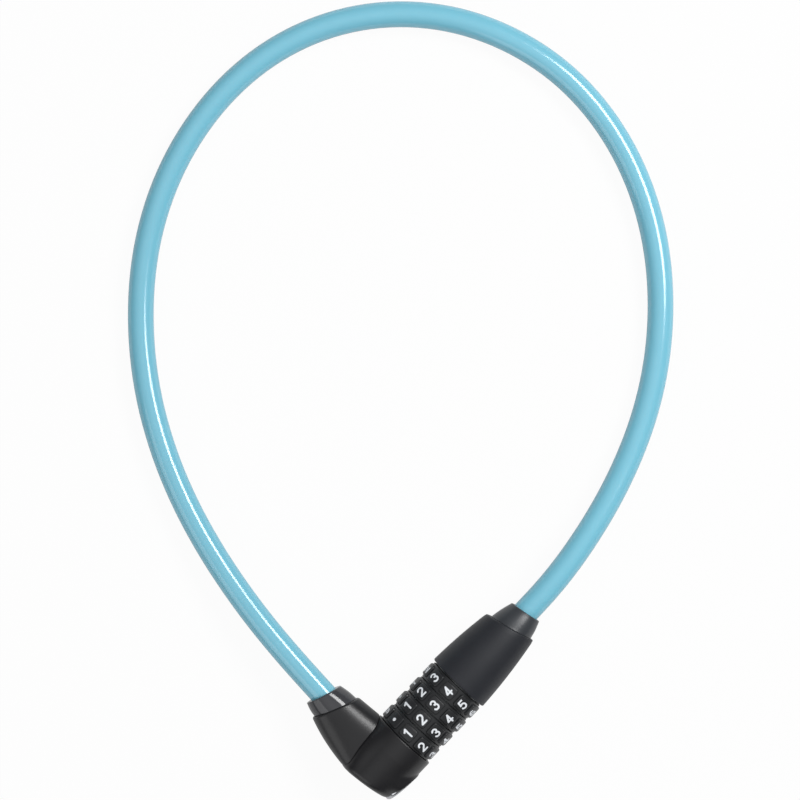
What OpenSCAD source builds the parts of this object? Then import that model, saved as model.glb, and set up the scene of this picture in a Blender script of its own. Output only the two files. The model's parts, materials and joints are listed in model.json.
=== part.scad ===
// Combination cable lock: a vinyl-coated steel cable in one closed loop, an elbow-shaped lock body
// with four number dials on a slotted core, and a plug whose lugged pin slides into the core.
// Millimetres. The lock lies on z = 0, +X runs along the dials from the elbow to the plug, and
// the origin is under the middle of the lock body and plug, without the cable.

/* [Cable] */
// Outside diameter of the vinyl sleeve
cable_d = 8; // [7.5:0.25:8.25]
// Diameter of the steel rope inside the sleeve
rope_d = 5; // [4:0.25:5.5]
// Gap between the rope and the sleeve's bore
rope_gap = 0.15; // [0.1:0.05:0.3]

/* [Dials] */
// Length of one dial along the axis, with its share of the gaps
dial_pitch = 5.9; // [5.7:0.1:6.8]
// Diameter over the number pads
pad_d = 20.4; // [20:0.1:21]
// Height of a number pad above its ring
pad_h = 0.65; // [0.4:0.05:0.8]
// Length of a pad's top along the axis
pad_l = 3.4; // [3:0.1:3.8]
// Width of a pad's top round the ring
pad_w = 5; // [4.4:0.1:5.2]
// Gap between two number rings
ring_gap = 0.24; // [0.16:0.02:0.3]

/* [Dial mechanism] */
// Outside diameter of the core that the dials turn on
core_d = 11.2; // [10.8:0.1:11.6]
// Diameter of the locking pin's shaft
pin_d = 4.8; // [4.4:0.1:5]
// Wall of a number ring, from the top of a pad to the gate wheel inside
ring_wall = 2.1; // [1.9:0.05:2.2]
// Wall of a gate wheel round the pocket for the lug
wheel_rim = 1; // [0.9:0.05:1.3]
// Width of a pin lug across the axis
lug_w = 2.4; // [1.8:0.1:2.6]
// Length of a pin lug along the axis
lug_l = 2; // [1.6:0.1:2.1]
// Thickness of the gate web that holds a lug back
gate_l = 2; // [1.8:0.1:2.1]
// Thickness of the washers between the dials
washer_l = 0.4; // [0.3:0.05:0.5]
// Diameter of a detent ball
ball_d = 1.6; // [1.4:0.1:1.8]
// Radial gap of each sliding or turning fit
run_gap = 0.08; // [0.05:0.01:0.1]

/* [Elbow base] */
// Diameter of the base at the dials
base_d = 21.2; // [21:0.1:22]
// Length of the base along the axis
base_l = 18; // [17.6:0.1:19.5]
// Diameter of the base near its far end
base_rear_d = 18.8; // [18:0.1:19.4]
// Wall of the base's plastic cover
cover_wall = 1.5; // [1.2:0.1:1.8]
// Slant of the base's far end
base_slant = 7.4; // [4:0.2:9]
// Diameter of the bright cap at the heel
cap_d = 11.4; // [10.8:0.1:11.6]
// Height of the bright cap above the heel
cap_proud = 0.6; // [0.3:0.1:1]

/* [Elbow branch] */
// Distance from the base's front face to the branch's axis
leg_x = 9.1; // [8.8:0.1:9.6]
// Lean of the branch towards the dials
leg_tilt = 3.8; // [2:0.2:5]
// Width of the branch where it leaves the base
branch_w = 19.2; // [18.6:0.1:19.4]
// Height of the branch above and below its axis together
branch_h = 14.4; // [14:0.1:15]
// Distance along the branch to the middle of its slanted top
branch_l = 22.1; // [21:0.1:24]
// Slant of the branch's top
branch_slant = 19.4; // [12:0.2:20]

/* [Cable collars] */
// Diameter of the elbow collar where it leaves the branch
elbow_collar_d = 13; // [12.6:0.1:13.2]
// Diameter of the elbow collar at its mouth
elbow_mouth_d = 11.2; // [10.6:0.1:11.6]
// Length of the elbow collar outside the branch
elbow_collar_l = 5.5; // [4:0.1:8]
// Slant of the elbow collar's mouth
elbow_mouth_slant = 15.4; // [8:0.2:18]
// Diameter of the plug collar where it leaves the barrel
plug_collar_d = 13.4; // [13:0.1:13.8]
// Diameter of the plug collar at its mouth
plug_mouth_d = 10.2; // [9.8:0.1:11]
// Length of the plug collar outside the barrel
plug_collar_l = 6.6; // [5:0.1:9]
// Slant of the plug collar's mouth
plug_mouth_slant = 9.6; // [4:0.2:14]

/* [Plug] */
// Diameter of the barrel next to the dials
barrel_d = 20.8; // [20.4:0.1:21]
// Length of the barrel along the axis
barrel_l = 23.5; // [23:0.5:28]
// Slant of the barrel's rear end
barrel_slant = 14.2; // [8:0.2:15]
// Radius of the barrel's long outward bulge
barrel_bulge_r = 180; // [170:5:400]
// Diameter of the metal insert inside the barrel
insert_d = 13.6; // [13.2:0.1:13.8]

/* [Hidden] */
$fn = 64;
far = 60;                                // longer than any cut has to reach
over = 1;                                // how far a cut runs past the face that it opens
thin = 0.02;                             // thickness of a slice that a hull joins

dials = 4;
digits = 10;
stack_l = dials * dial_pitch;            // the dials, from the base's front face to the plug
face_gap = 0.3;                          // between the last dial and the barrel
fit_gap = 0.05;                          // between fixed pieces of one assembly
edge = 0.3;                              // small broken edge

// Core, pin and gates
core_r = core_d / 2;
pin_r = pin_d / 2;
core_bore_r = pin_r + run_gap;
flange_rim = 1.05;                       // wall of the elbow's block round the core's flange
flange_r = base_d / 2 - cover_wall - fit_gap - flange_rim;
flange_l = 1.6;
flange_sunk = washer_l / 2 + fit_gap;    // front of the core's flange, behind the base's face
nose_l = 2.6;                            // core beyond the dials, inside the barrel's socket
tail_l = 4.4;                            // core behind the base's face
bore_floor = 1.2;                        // blind end of the core's bore, behind the base's face
pin_tip = 0.6;                           // tip of the locking pin, behind the base's face
lug_lead = 0.9;                          // from the start of a dial to its lug
lug_slack = 0.3;                         // between a lug and the sides of its slot
wheel_play = 0.1;                        // between a gate wheel and a washer
wheel_r = pad_d / 2 - ring_wall;
wheel_bore_r = core_r + run_gap;
pocket_r = wheel_r - wheel_rim;
lug_r = pocket_r - lug_slack;
washer_r = wheel_r - 0.25;
ring_l = 0.85;                           // thickness of the retaining ring
ring_slack = 0.1;
ring_u = stack_l + washer_l / 2 + 2 * ring_slack;
ring_r = 7.2;
groove_r = core_r - 0.6;
key_w = 1.2;                             // drive key between a gate wheel and its number ring
key_h = 0.5;
key_root = 0.5;                          // the key's depth inside the wheel
notch_r = ball_d / 2 - 0.05;             // detent notches in the gate web's bore
notch_depth = 0.4;
notch_facets = 24;
ball_top = wheel_bore_r - 0.03;          // the balls are pressed in to just under the wheel's bore
ball_hole_r = ball_d / 2 + fit_gap;
ball_hole_floor = core_bore_r + 0.5;     // from the axis to the bottom of a ball's blind hole
spring_r = ball_d / 2 - 0.1;
spring_wall = 0.3;

// Number rings
pad_r = pad_d / 2;
neck_r = pad_r - pad_h;
pad_step_h = pad_h / 2;                  // a pad has a wider lower step under its top
pad_step_w = 0.4;                        // how far the lower step stands out round the top
low_slope = 0.2;                         // slope of each step's ends
top_slope = 0.25;

// Base and branch
base_r = base_d / 2;
base_straight = 6;                       // front part of the base that doesn't taper
taper_end = 16;                          // where the rear diameter is reached
taper = (base_r - base_rear_d / 2) / (taper_end - base_straight);
end_round = 2;                           // rounding of the base's far edge
round_step = 22.5;                       // angle between the points of a rounding
end_spare = 5;                           // the cone runs on past the slanted end
flare_extra = 0.22;                      // the slanted cut widens forwards, clear of the sides
end_flare = (1.5 * taper + flare_extra) * (base_l + end_round);
heel_step = 0.4;                         // from the base's greatest radius in to the heel's flat
heel_d = base_r - heel_step;             // from the axis down to the heel's flat
heel_boss_r = 6.7;
cap_r = cap_d / 2;
cap_sunk = 1.2;                          // the cap's depth in the heel
cap_shift = 1.4;                         // the cap lies a little to the branch's outer side
leg_bore_r = 4.35;
ferrule_r = leg_bore_r - fit_gap;
stub_r = 6.2;                            // the block's neck inside the branch
stub_l = 14;
cavity_r = 6.1;                          // inside of the branch, above the neck
cable_seat = 15;                         // end of the sleeve, along the branch
cable_r = cable_d / 2;
rope_r = rope_d / 2;
heel_gap = 1.4;                          // between the heel's recess and the elbow ferrule
ferrule_foot = -heel_d + cap_sunk + heel_gap;
ferrule_pin_leg = ferrule_foot + 2;
rope_end_leg = ferrule_foot + 4.6;       // end of the rope, along the branch
dowel_r = 0.9;
core_pin_u = -2.9;

// Elbow collar
elbow_mouth = branch_l + elbow_collar_l;
elbow_lip = 0.7;                         // rounded edge of the collar's mouth
lip_swell = 0.1;
spigot_rise = 4;                         // the collar's spigot runs past the branch's slanted top
collar_slip = 0.5;                       // how far a collar's spigot stays off what lies below it

// Plug
barrel_u = stack_l + face_gap;           // the barrel's front
barrel_end_u = barrel_u + barrel_l;
barrel_taper = 0.035;
barrel_spare = 6;                        // the barrel's curve runs on past its slanted end
barrel_steps = 10;
socket_r = 7.7;
socket_l = 3.1;
insert_r = insert_d / 2;
insert_front_u = barrel_u + socket_l + 0.2;
sleeve_end_u = barrel_end_u - 3.45;      // end of the sleeve inside the plug
collar_gap = 0.25;                       // between the moving plug and the cable
plug_bore_r = cable_r + collar_gap;
rope_end_u = sleeve_end_u - 5.8;
plug_ferrule_front_u = rope_end_u - 0.7;
plug_ferrule_rear_u = sleeve_end_u - 0.4;
pin_rear_u = plug_ferrule_front_u - 1.3;
cross_pin_u = insert_front_u + 4.5;
plug_mouth_u = barrel_end_u + plug_collar_l;
plug_lip = 0.5;

// Extents of the lock body and plug, from the base's face and the axis, which place the origin
rear_disc_r = base_rear_d / 2 - taper * (base_l - taper_end) - end_round;
u_low = -base_l - end_round * (1 - cos(base_slant)) - rear_disc_r * sin(base_slant);
u_high = plug_mouth_u + plug_mouth_d / 2 * sin(plug_mouth_slant);
t_low = -(heel_d + cap_proud) * cos(leg_tilt) - (cap_r - cap_shift) * sin(leg_tilt);
t_high = elbow_mouth * cos(leg_tilt) + elbow_mouth_d / 2 * sin(elbow_mouth_slant + leg_tilt);
face_x = -(u_low + u_high) / 2;
axis_y = -(t_low + t_high) / 2;
axis_z = base_r;

// ---- Places along the lock's axis and along the branch ----

// Children with their Z along the lock's axis, u from the base's front face; their X points down
module on_axis(u) {
    translate([face_x + u, axis_y, axis_z])
        rotate([0, 90, 0])
            children();
}

// Children with their Z along the branch, d from the lock's axis; their X points to the plug side
module on_leg(d) {
    translate([face_x - leg_x, axis_y, axis_z])
        rotate([0, 0, -leg_tilt])
            rotate([-90, 0, 0])
                translate([0, 0, d])
                    children();
}

module rod(u0, u1, r) {
    on_axis(u0) cylinder(h = u1 - u0, r = r);
}

module leg_rod(d0, d1, r) {
    on_leg(d0) cylinder(h = d1 - d0, r = r);
}

// Upright pin through the axis at u, reaching half_l up and down
module upright(u, r, half_l) {
    translate([face_x + u, axis_y, axis_z - half_l])
        cylinder(h = 2 * half_l, r = r);
}

// Everything beyond a plane square to the branch, tilted by slant so that its outer side is longer
module beyond_leg(d, slant) {
    on_leg(d) rotate([0, slant, 0]) translate([-far / 2, -far / 2, 0]) cube(far);
}

module beyond_axis(u, slant) {
    on_axis(u) rotate([-slant, 0, 0]) translate([-far / 2, -far / 2, 0]) cube(far);
}

// ---- Cable: control points of a cubic B-spline, resting height on the floor ----

rest_z = cable_r;
straight_step = 10;                      // between the points inside the two mouths
function on_plug_axis(u) = [face_x + u, axis_y, axis_z];
function leg_point(d) = [face_x - leg_x + d * sin(leg_tilt), axis_y + d * cos(leg_tilt), axis_z];

// The loop between the two mouths: x, y and the height above the resting height
loop = [
    [59, -8, 5.8], [75.5, -5, 3.6], [91, -0.5, 1.3], [106.5, 6, 0.1], [122, 15.5, 0],
    [136.5, 28, 0], [149, 43, 0], [158.5, 60.5, 0], [164, 79.5, 0], [165, 99, 0],
    [161, 118, 0], [153, 135, 0], [141, 149.5, 0], [126, 160.5, 0], [108.5, 167.5, 0],
    [89.5, 170, 0], [70, 168, 0], [51, 162, 0], [32.5, 151.5, 0], [16, 137, 0],
    [2.5, 120.5, 0], [-8, 102, 0], [-15, 84, 0.3], [-19.5, 67, 2], [-22.5, 50, 4.6],
    [-24, 35.5, 6.2]
];
route = concat(
    [for (i = [-1:2]) on_plug_axis(sleeve_end_u + i * straight_step)],
    [for (p = loop) [p[0], p[1], rest_z + p[2]]],
    [for (i = [2:-1:-1]) leg_point(cable_seat + i * straight_step)]
);
sleeve_line = [for (i = [0:len(route) - 3]) (route[i] + 4 * route[i + 1] + route[i + 2]) / 6];
sides = 12;
rope_line = concat([on_plug_axis(rope_end_u)], sleeve_line, [leg_point(rope_end_leg)]);

function unit(v) = v / norm(v);
function heading(line, i) = unit(line[min(i + 1, len(line) - 1)] - line[max(i - 1, 0)]);
function across(line, i) = unit(cross(heading(line, i), [0, 0, 1]));
function above(line, i) = cross(across(line, i), heading(line, i));
function ring_points(line, i, r) = [
    for (a = [0:360 / sides:359])
        line[i] + r * (cos(a) * across(line, i) + sin(a) * above(line, i))
];

// Round bar along a line; the last point of each ring closes on its first
module swept_bar(line, r) {
    last = len(line) - 1;
    polyhedron(
        points = [for (i = [0:last]) each ring_points(line, i, r)],
        faces = concat(
            [for (i = [0:last - 1], k = [0:sides - 1])
                each wall_faces(i * sides, (i + 1) * sides, k)],
            [[for (k = [0:sides - 1]) k]],
            [[for (k = [sides - 1:-1:0]) last * sides + k]]
        )
    );
}

// Two triangles between ring a and ring b, at side k
function wall_faces(a, b, k) = let (n = (k + 1) % sides) [
    [a + k, b + k, b + n],
    [a + k, b + n, a + n]
];
function flipped(faces) = [for (f = faces) [f[2], f[1], f[0]]];

// Pipe along a line, with ri as its bore
module swept_pipe(line, ro, ri) {
    last = len(line) - 1;
    inner = (last + 1) * sides;          // number of the first point of the bore
    polyhedron(
        points = concat(
            [for (i = [0:last]) each ring_points(line, i, ro)],
            [for (i = [0:last]) each ring_points(line, i, ri)]
        ),
        faces = concat(
            [for (i = [0:last - 1], k = [0:sides - 1])
                each wall_faces(i * sides, (i + 1) * sides, k)],
            [for (i = [0:last - 1], k = [0:sides - 1])
                each flipped(wall_faces(inner + i * sides, inner + (i + 1) * sides, k))],
            [for (k = [0:sides - 1]) each wall_faces(inner, 0, k)],
            [for (k = [0:sides - 1]) each wall_faces(last * sides, inner + last * sides, k)]
        )
    );
}

module cable_sleeve() {
    color("skyblue") swept_pipe(sleeve_line, cable_r, rope_r + rope_gap);
}

module wire_rope() {
    color("silver") swept_bar(rope_line, rope_r);
}

// ---- Elbow base ----

function taper_r(u) = base_r - taper * (u - base_straight);

// The base's outer form, shrunk by inset: a round body that tapers to a slanted, rounded end
module base_form(inset) {
    r = base_r - inset;
    end_r = taper_r(base_l) - inset;
    rounding = end_round - inset / 2;
    intersection() {
        on_axis(0)
            rotate_extrude()
                polygon([
                    [0, -base_l - end_spare],
                    [taper_r(base_l + end_spare) - inset, -base_l - end_spare],
                    [r, -base_straight], [r, -edge], [r - edge, 0], [0, 0]
                ]);
        on_axis(-base_l + inset)
            rotate([-base_slant, 0, 0])
                rotate_extrude()
                    polygon(concat(
                        [[0, 0]],
                        [for (a = [0:round_step:90])
                            [end_r - rounding + rounding * sin(a), rounding - rounding * cos(a)]],
                        [[end_r + end_flare, base_l + end_round], [0, base_l + end_round]]
                    ));
    }
}

module heel_boss(r, sunk) {
    leg_rod(-heel_d + sunk, 0, r);
}

module base_cover() {
    color("#333338") difference() {
        union() {
            base_form(0);
            heel_boss(heel_boss_r, 0);
        }
        base_form(cover_wall);
        heel_boss(heel_boss_r - cover_wall, cover_wall);
        rod(-over, over, base_r - cover_wall);
        leg_rod(0, far, stub_r + fit_gap);
        leg_rod(-far, 0, leg_bore_r);
        heel_recess();
    }
}

// Seat of the bright cap in the heel
module heel_recess() {
    on_leg(-heel_d - over)
        translate([-cap_shift, 0, 0])
            cylinder(h = cap_sunk + over, r = cap_r + fit_gap);
}

module base_block() {
    color("#8f9296") difference() {
        union() {
            base_form(cover_wall + fit_gap);
            heel_boss(heel_boss_r - cover_wall - fit_gap, cover_wall + fit_gap);
            leg_rod(0, stub_l, stub_r);
        }
        heel_recess();
        leg_rod(-far, far, leg_bore_r);
        rod(-flange_l - flange_sunk - fit_gap, over, flange_r + fit_gap);
        rod(-washer_l / 2 - fit_gap, over, washer_r + fit_gap);
        rod(-leg_x, 0, core_r + fit_gap);
        upright(core_pin_u, dowel_r, far);
        ferrule_pin_hole(far);
    }
}

module ferrule_pin_hole(half_l) {
    p = leg_point(ferrule_pin_leg);
    translate([p[0], p[1], p[2] - half_l]) cylinder(h = 2 * half_l, r = dowel_r);
}

// Oval sections of the branch: place along it, width, height, shift to its outer side
branch_foot = 7.4;
branch_sections = [
    [branch_foot, branch_w, branch_h, 0.65],
    [10, branch_w - 0.4, branch_h, 0.75],
    [15, branch_w - 1.6, branch_h + 0.2, 0.85],
    [19, branch_w - 2.9, branch_h + 0.3, 0.85],
    [branch_l + 3, branch_w - 5.6, branch_h - 0.4, 0.45]
];

module branch_cover() {
    color("#36363b") difference() {
        hull()
            for (section = branch_sections)
                on_leg(section[0])
                    translate([-section[3], 0, 0])
                        resize([section[1], section[2], thin])
                            cylinder(h = thin, r = 1);
        beyond_leg(branch_l, branch_slant);
        beyond_axis(-fit_gap, 0);
        base_form(0);
        leg_rod(-far, stub_l + fit_gap, stub_r + fit_gap);
        leg_rod(0, far, cavity_r);
    }
}

// Thin disc on the branch's axis, tilted by slant
module leg_disc(d, slant, r) {
    on_leg(d) rotate([0, slant, 0]) cylinder(h = thin, r = r);
}

// Tapered collar between two slanted planes on the branch
module elbow_collar() {
    color("#4c4d52") difference() {
        union() {
            hull() {
                leg_disc(branch_l, branch_slant, elbow_collar_d / 2);
                leg_disc(elbow_mouth - elbow_lip, elbow_mouth_slant, elbow_mouth_d / 2 + lip_swell);
                leg_disc(elbow_mouth, elbow_mouth_slant, elbow_mouth_d / 2 - elbow_lip / 2);
            }
            difference() {
                leg_rod(stub_l + collar_slip, branch_l + spigot_rise, cavity_r - fit_gap);
                beyond_leg(branch_l + thin / 2, branch_slant);
            }
        }
        leg_rod(0, far, cable_r + fit_gap);
        leg_rod(0, cable_seat + collar_slip, ferrule_r + 2 * fit_gap);
    }
}

module heel_cap() {
    color("#c4c7ca")
        on_leg(-heel_d - cap_proud)
            translate([-cap_shift, 0, 0]) {
                cylinder(h = edge, r1 = cap_r - edge, r2 = cap_r);
                translate([0, 0, edge]) cylinder(h = cap_sunk + cap_proud - edge - fit_gap, r = cap_r);
            }
}

module elbow_ferrule() {
    color("#a9acb0") difference() {
        leg_rod(ferrule_foot, cable_seat - fit_gap, ferrule_r);
        leg_rod(rope_end_leg - fit_gap, far, rope_r + fit_gap);
        ferrule_pin_hole(far);
    }
}

module ferrule_pin() {
    block_r = taper_r(leg_x - ferrule_pin_leg * sin(leg_tilt)) - cover_wall;
    reach = abs(ferrule_pin_leg) * cos(leg_tilt) + dowel_r;
    color("#b9bcc0") ferrule_pin_hole(sqrt(block_r * block_r - reach * reach) - 2 * fit_gap);
}

// ---- Core and what it carries ----

// Length of axis that dial i (0 to 3) takes, from its start
function dial_u(i) = i * dial_pitch;
function gate_u(i) = dial_u(i + 1) - washer_l / 2 - wheel_play - gate_l;

// Straight way for the lugs, below the axis
module lug_way(u0, u1, reach, slack) {
    on_axis(u0) translate([0, -lug_w / 2 - slack, 0]) cube([reach, lug_w + 2 * slack, u1 - u0]);
}

module core_tube() {
    color("#a3a5a8") difference() {
        union() {
            rod(-tail_l, stack_l + nose_l, core_r);
            rod(-flange_l - flange_sunk, -flange_sunk, flange_r);
        }
        rod(-bore_floor, far + stack_l, core_bore_r);
        lug_way(flange_sunk, stack_l + far, far / 2, lug_slack);
        difference() {
            rod(ring_u - ring_slack, ring_u + ring_l + ring_slack, core_r + over);
            rod(ring_u - ring_slack, ring_u + ring_l + ring_slack, groove_r);
        }
        for (i = [0:dials - 1])
            above_gate(i, ball_hole_floor) cylinder(h = core_r, r = ball_hole_r);
        upright(core_pin_u, dowel_r, far);
    }
}

// Children with their Z up, r above the axis over the middle of a gate web
module above_gate(i, r) {
    translate([face_x + gate_u(i) + gate_l / 2, axis_y, axis_z + r])
        children();
}

module detent_balls() {
    color("#d5d7da")
        for (i = [0:dials - 1])
            above_gate(i, ball_top - ball_d / 2) sphere(d = ball_d);
}

module detent_springs() {
    spring_l = ball_top - ball_d - ball_hole_floor;
    color("#b4b6b8")
        for (i = [0:dials - 1])
            above_gate(i, ball_hole_floor)
                difference() {
                    cylinder(h = spring_l, r = spring_r);
                    translate([0, 0, -over]) cylinder(h = spring_l + 2 * over, r = spring_r - spring_wall);
                }
}

module core_pin() {
    block_r = base_r - cover_wall;
    color("#b9bcc0") upright(core_pin_u, dowel_r, sqrt(block_r * block_r - dowel_r * dowel_r) - 2 * fit_gap);
}

module spacer_washers() {
    color("#7d8084")
        for (i = [0:dials])
            difference() {
                rod(dial_u(i) - washer_l / 2, dial_u(i) + washer_l / 2, washer_r);
                rod(dial_u(i) - over, dial_u(i) + over, core_r + fit_gap);
                lug_way(dial_u(i) - over, dial_u(i) + over, pocket_r, lug_slack);
            }
}

module retaining_ring() {
    color("#66696d") difference() {
        rod(ring_u, ring_u + ring_l, ring_r);
        rod(ring_u - over, ring_u + ring_l + over, groove_r + fit_gap);
        lug_way(ring_u - over, ring_u + ring_l + over, far / 2, lug_slack);
    }
}

// ---- Dials ----

// Wheel inside a dial: a pocket where the lug stands, and a web with the gate and ten notches
module gate_wheel(i) {
    u0 = dial_u(i) + washer_l / 2 + wheel_play;
    u1 = gate_u(i) + gate_l;
    difference() {
        union() {
            rod(u0, u1, wheel_r - fit_gap);
            drive_keys(u0, u1, 0);
        }
        rod(u0 - over, u1 + over, wheel_bore_r);
        rod(u0 - over, gate_u(i), pocket_r);
        lug_way(u0, u1 + over, pocket_r, lug_slack);
        for (k = [0:digits - 1])
            on_axis(gate_u(i) - over)
                rotate([0, 0, 180 + k * 360 / digits])
                    translate([wheel_bore_r + notch_depth - notch_r, 0, 0])
                        cylinder(h = gate_l + 2 * over, r = notch_r, $fn = notch_facets);
    }
}

// Two keys at the front and back of a wheel, or with slack their slots in the number ring
module drive_keys(u0, u1, slack) {
    for (turn = [90, 270])
        on_axis(u0)
            rotate([0, 0, turn])
                translate([wheel_r - key_root, -key_w / 2 - slack, 0])
                    cube([key_root + key_h + slack, key_w + 2 * slack, u1 - u0]);
}

module number_ring(i) {
    u0 = dial_u(i) + ring_gap / 2;
    u1 = dial_u(i + 1) - ring_gap / 2;
    mid = (u0 + u1) / 2;
    difference() {
        union() {
            rod(u0, u1, neck_r);
            pad_belt(mid, pad_l / 2 + pad_step_w, pad_w + 2 * pad_step_w, neck_r + pad_step_h, low_slope);
            pad_belt(mid, pad_l / 2, pad_w, pad_r, top_slope);
        }
        rod(u0 - over, u1 + over, wheel_r);
        drive_keys(u0 - over, u1 + over, fit_gap);
    }
}

// One step of the ten raised pads; the pad of the open number faces straight up
module pad_belt(u, half_l, width, r, slope) {
    intersection() {
        on_axis(u)
            rotate_extrude()
                polygon([
                    [0, -half_l - slope], [neck_r, -half_l - slope], [r, -half_l],
                    [r, half_l], [neck_r, half_l + slope], [0, half_l + slope]
                ]);
        on_axis(u - half_l - over)
            for (k = [0:digits - 1])
                rotate([0, 0, 180 + k * 360 / digits])
                    translate([neck_r - over, -width / 2, 0])
                        cube([pad_h + 2 * over, width, 2 * half_l + 2 * over]);
    }
}

// ---- Plug ----

function barrel_r(x) = barrel_d / 2 - barrel_taper * x - x * x / (2 * barrel_bulge_r);

module plug_barrel() {
    rear = barrel_l + barrel_spare;
    color("#303238") difference() {
        on_axis(barrel_u)
            rotate_extrude()
                polygon(concat(
                    [[0, rear], [0, 0], [barrel_r(0) - edge, 0]],
                    [for (i = [0:barrel_steps])
                        let (x = edge + i * (rear - edge) / barrel_steps) [barrel_r(x), x]]
                ));
        beyond_axis(barrel_end_u, barrel_slant);
        rod(barrel_u - over, barrel_u + socket_l, socket_r);
        rod(barrel_u, barrel_end_u + far, insert_r + fit_gap);
    }
}

module plug_insert() {
    color("#93969a") difference() {
        rod(insert_front_u, sleeve_end_u, insert_r);
        rod(0, pin_rear_u + fit_gap, pin_r + fit_gap);
        rod(plug_ferrule_front_u - fit_gap, sleeve_end_u + over, ferrule_r + fit_gap);
        upright(cross_pin_u, dowel_r, far);
    }
}

module locking_pin() {
    color("#c0c3c6") difference() {
        union() {
            rod(-pin_tip, pin_rear_u, pin_r);
            for (i = [0:dials - 1]) {
                u = dial_u(i) + lug_lead;
                intersection() {
                    lug_way(u, u + lug_l, far / 2, 0);
                    rod(u, u + lug_l, lug_r);
                }
            }
        }
        upright(cross_pin_u, dowel_r, far);
    }
}

// Thin disc on the lock's axis, tilted by slant
module axis_disc(u, slant, r) {
    on_axis(u) rotate([-slant, 0, 0]) cylinder(h = thin, r = r);
}

module plug_collar() {
    color("#44474c") difference() {
        union() {
            hull() {
                axis_disc(barrel_end_u, barrel_slant, plug_collar_d / 2);
                axis_disc(plug_mouth_u - plug_lip, plug_mouth_slant, plug_mouth_d / 2 + lip_swell);
                axis_disc(plug_mouth_u, plug_mouth_slant, plug_mouth_d / 2 - plug_lip / 2);
            }
            difference() {
                rod(sleeve_end_u + fit_gap, barrel_end_u + spigot_rise, insert_r);
                beyond_axis(barrel_end_u + thin / 2, barrel_slant);
            }
        }
        rod(sleeve_end_u - over, plug_mouth_u + far, plug_bore_r);
    }
}

module plug_ferrule() {
    color("#a9acb0") difference() {
        rod(plug_ferrule_front_u, plug_ferrule_rear_u, ferrule_r);
        rod(rope_end_u - collar_gap, plug_ferrule_rear_u + over, rope_r + collar_gap);
    }
}

module plug_cross_pin() {
    color("#b9bcc0") upright(cross_pin_u, dowel_r, insert_r - fit_gap);
}

cable_sleeve();
wire_rope();
base_cover();
base_block();
branch_cover();
elbow_collar();
heel_cap();
elbow_ferrule();
ferrule_pin();
core_tube();
core_pin();
spacer_washers();
retaining_ring();
detent_balls();
detent_springs();
color("#323438") number_ring(0);  // number_ring_1
color("#323438") number_ring(1);  // number_ring_2
color("#323438") number_ring(2);  // number_ring_3
color("#323438") number_ring(3);  // number_ring_4
color("#9a9da0") gate_wheel(0);  // gate_wheel_1
color("#9a9da0") gate_wheel(1);  // gate_wheel_2
color("#9a9da0") gate_wheel(2);  // gate_wheel_3
color("#9a9da0") gate_wheel(3);  // gate_wheel_4
plug_barrel();
plug_insert();
locking_pin();
plug_collar();
plug_ferrule();
plug_cross_pin();
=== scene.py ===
# %% [markdown]
# # A combination cable lock
# The imported model gives every piece its place, so this script only dresses it. It builds smooth
# shells over the plain solids, paints the numbers, lays the cable and gives each piece its finish.
# Work goes from the outside in: camera and cable first, then the elbow, the plug and the dials.
# The metal parts that show when the plug is drawn keep their imported solids and slot finishes.

# %% Load the frame
import bmesh
import bpy
import json
from math import atan, atan2, cos, exp, hypot, pi, radians, sin, sqrt, tan
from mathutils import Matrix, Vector
from mathutils.geometry import delaunay_2d_cdt


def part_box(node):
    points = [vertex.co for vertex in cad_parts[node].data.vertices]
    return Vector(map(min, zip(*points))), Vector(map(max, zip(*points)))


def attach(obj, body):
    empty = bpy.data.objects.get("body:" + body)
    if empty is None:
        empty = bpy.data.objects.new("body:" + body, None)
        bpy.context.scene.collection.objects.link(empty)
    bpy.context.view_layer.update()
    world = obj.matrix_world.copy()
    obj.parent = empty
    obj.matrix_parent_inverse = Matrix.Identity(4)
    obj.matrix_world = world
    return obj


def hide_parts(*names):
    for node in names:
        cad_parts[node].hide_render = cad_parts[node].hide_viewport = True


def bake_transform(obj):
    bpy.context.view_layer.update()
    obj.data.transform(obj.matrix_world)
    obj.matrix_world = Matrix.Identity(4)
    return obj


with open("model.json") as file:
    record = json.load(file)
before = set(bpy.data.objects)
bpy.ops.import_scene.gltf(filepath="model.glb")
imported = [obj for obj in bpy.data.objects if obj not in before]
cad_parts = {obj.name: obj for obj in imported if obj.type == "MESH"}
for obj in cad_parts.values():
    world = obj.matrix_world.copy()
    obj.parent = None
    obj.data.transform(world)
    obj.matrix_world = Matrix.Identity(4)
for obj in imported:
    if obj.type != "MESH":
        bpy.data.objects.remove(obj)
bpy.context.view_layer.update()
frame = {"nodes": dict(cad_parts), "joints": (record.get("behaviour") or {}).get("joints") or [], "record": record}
MM = 0.001
print("nodes:", len(frame["nodes"]))

# %% [markdown]
# ## Two ways to say where a thing is
# Everything on the lock body is turned on one axis, so points are given as u, v, w in millimetres:
# u along the dials' axis from the base's front face, v sideways and w up. The elbow's branch leans
# a little, so it has its own: across towards the dials, along the branch, and up. The axis, the
# front face and the dials' pitch come from the frame. The branch's place repeats the model's sizes.

# %% Places on the lock
first_dial, second_dial = [
    joint["pos_m"] for joint in frame["joints"] if joint["name"] in ("dial_1_turn", "dial_2_turn")
]
PITCH = (second_dial[0] - first_dial[0]) / MM
DIALS = 4
FACE = Vector((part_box("base_cover")[1].x, first_dial[1], first_dial[2]))
LEG_U = -9.1
LEG_TILT = radians(3.8)


def lock_point(u, v, w):
    return FACE + Vector((u, v, w)) * MM


def axis_point(across, along, up):
    """Across, along and up again, but along the dials' axis from the front face."""
    return lock_point(along, across, up)


def leg_uv(across, along):
    u = LEG_U + across * cos(LEG_TILT) + along * sin(LEG_TILT)
    return u, along * cos(LEG_TILT) - across * sin(LEG_TILT)


def leg_point(across, along, up):
    return lock_point(*leg_uv(across, along), up)


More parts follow.
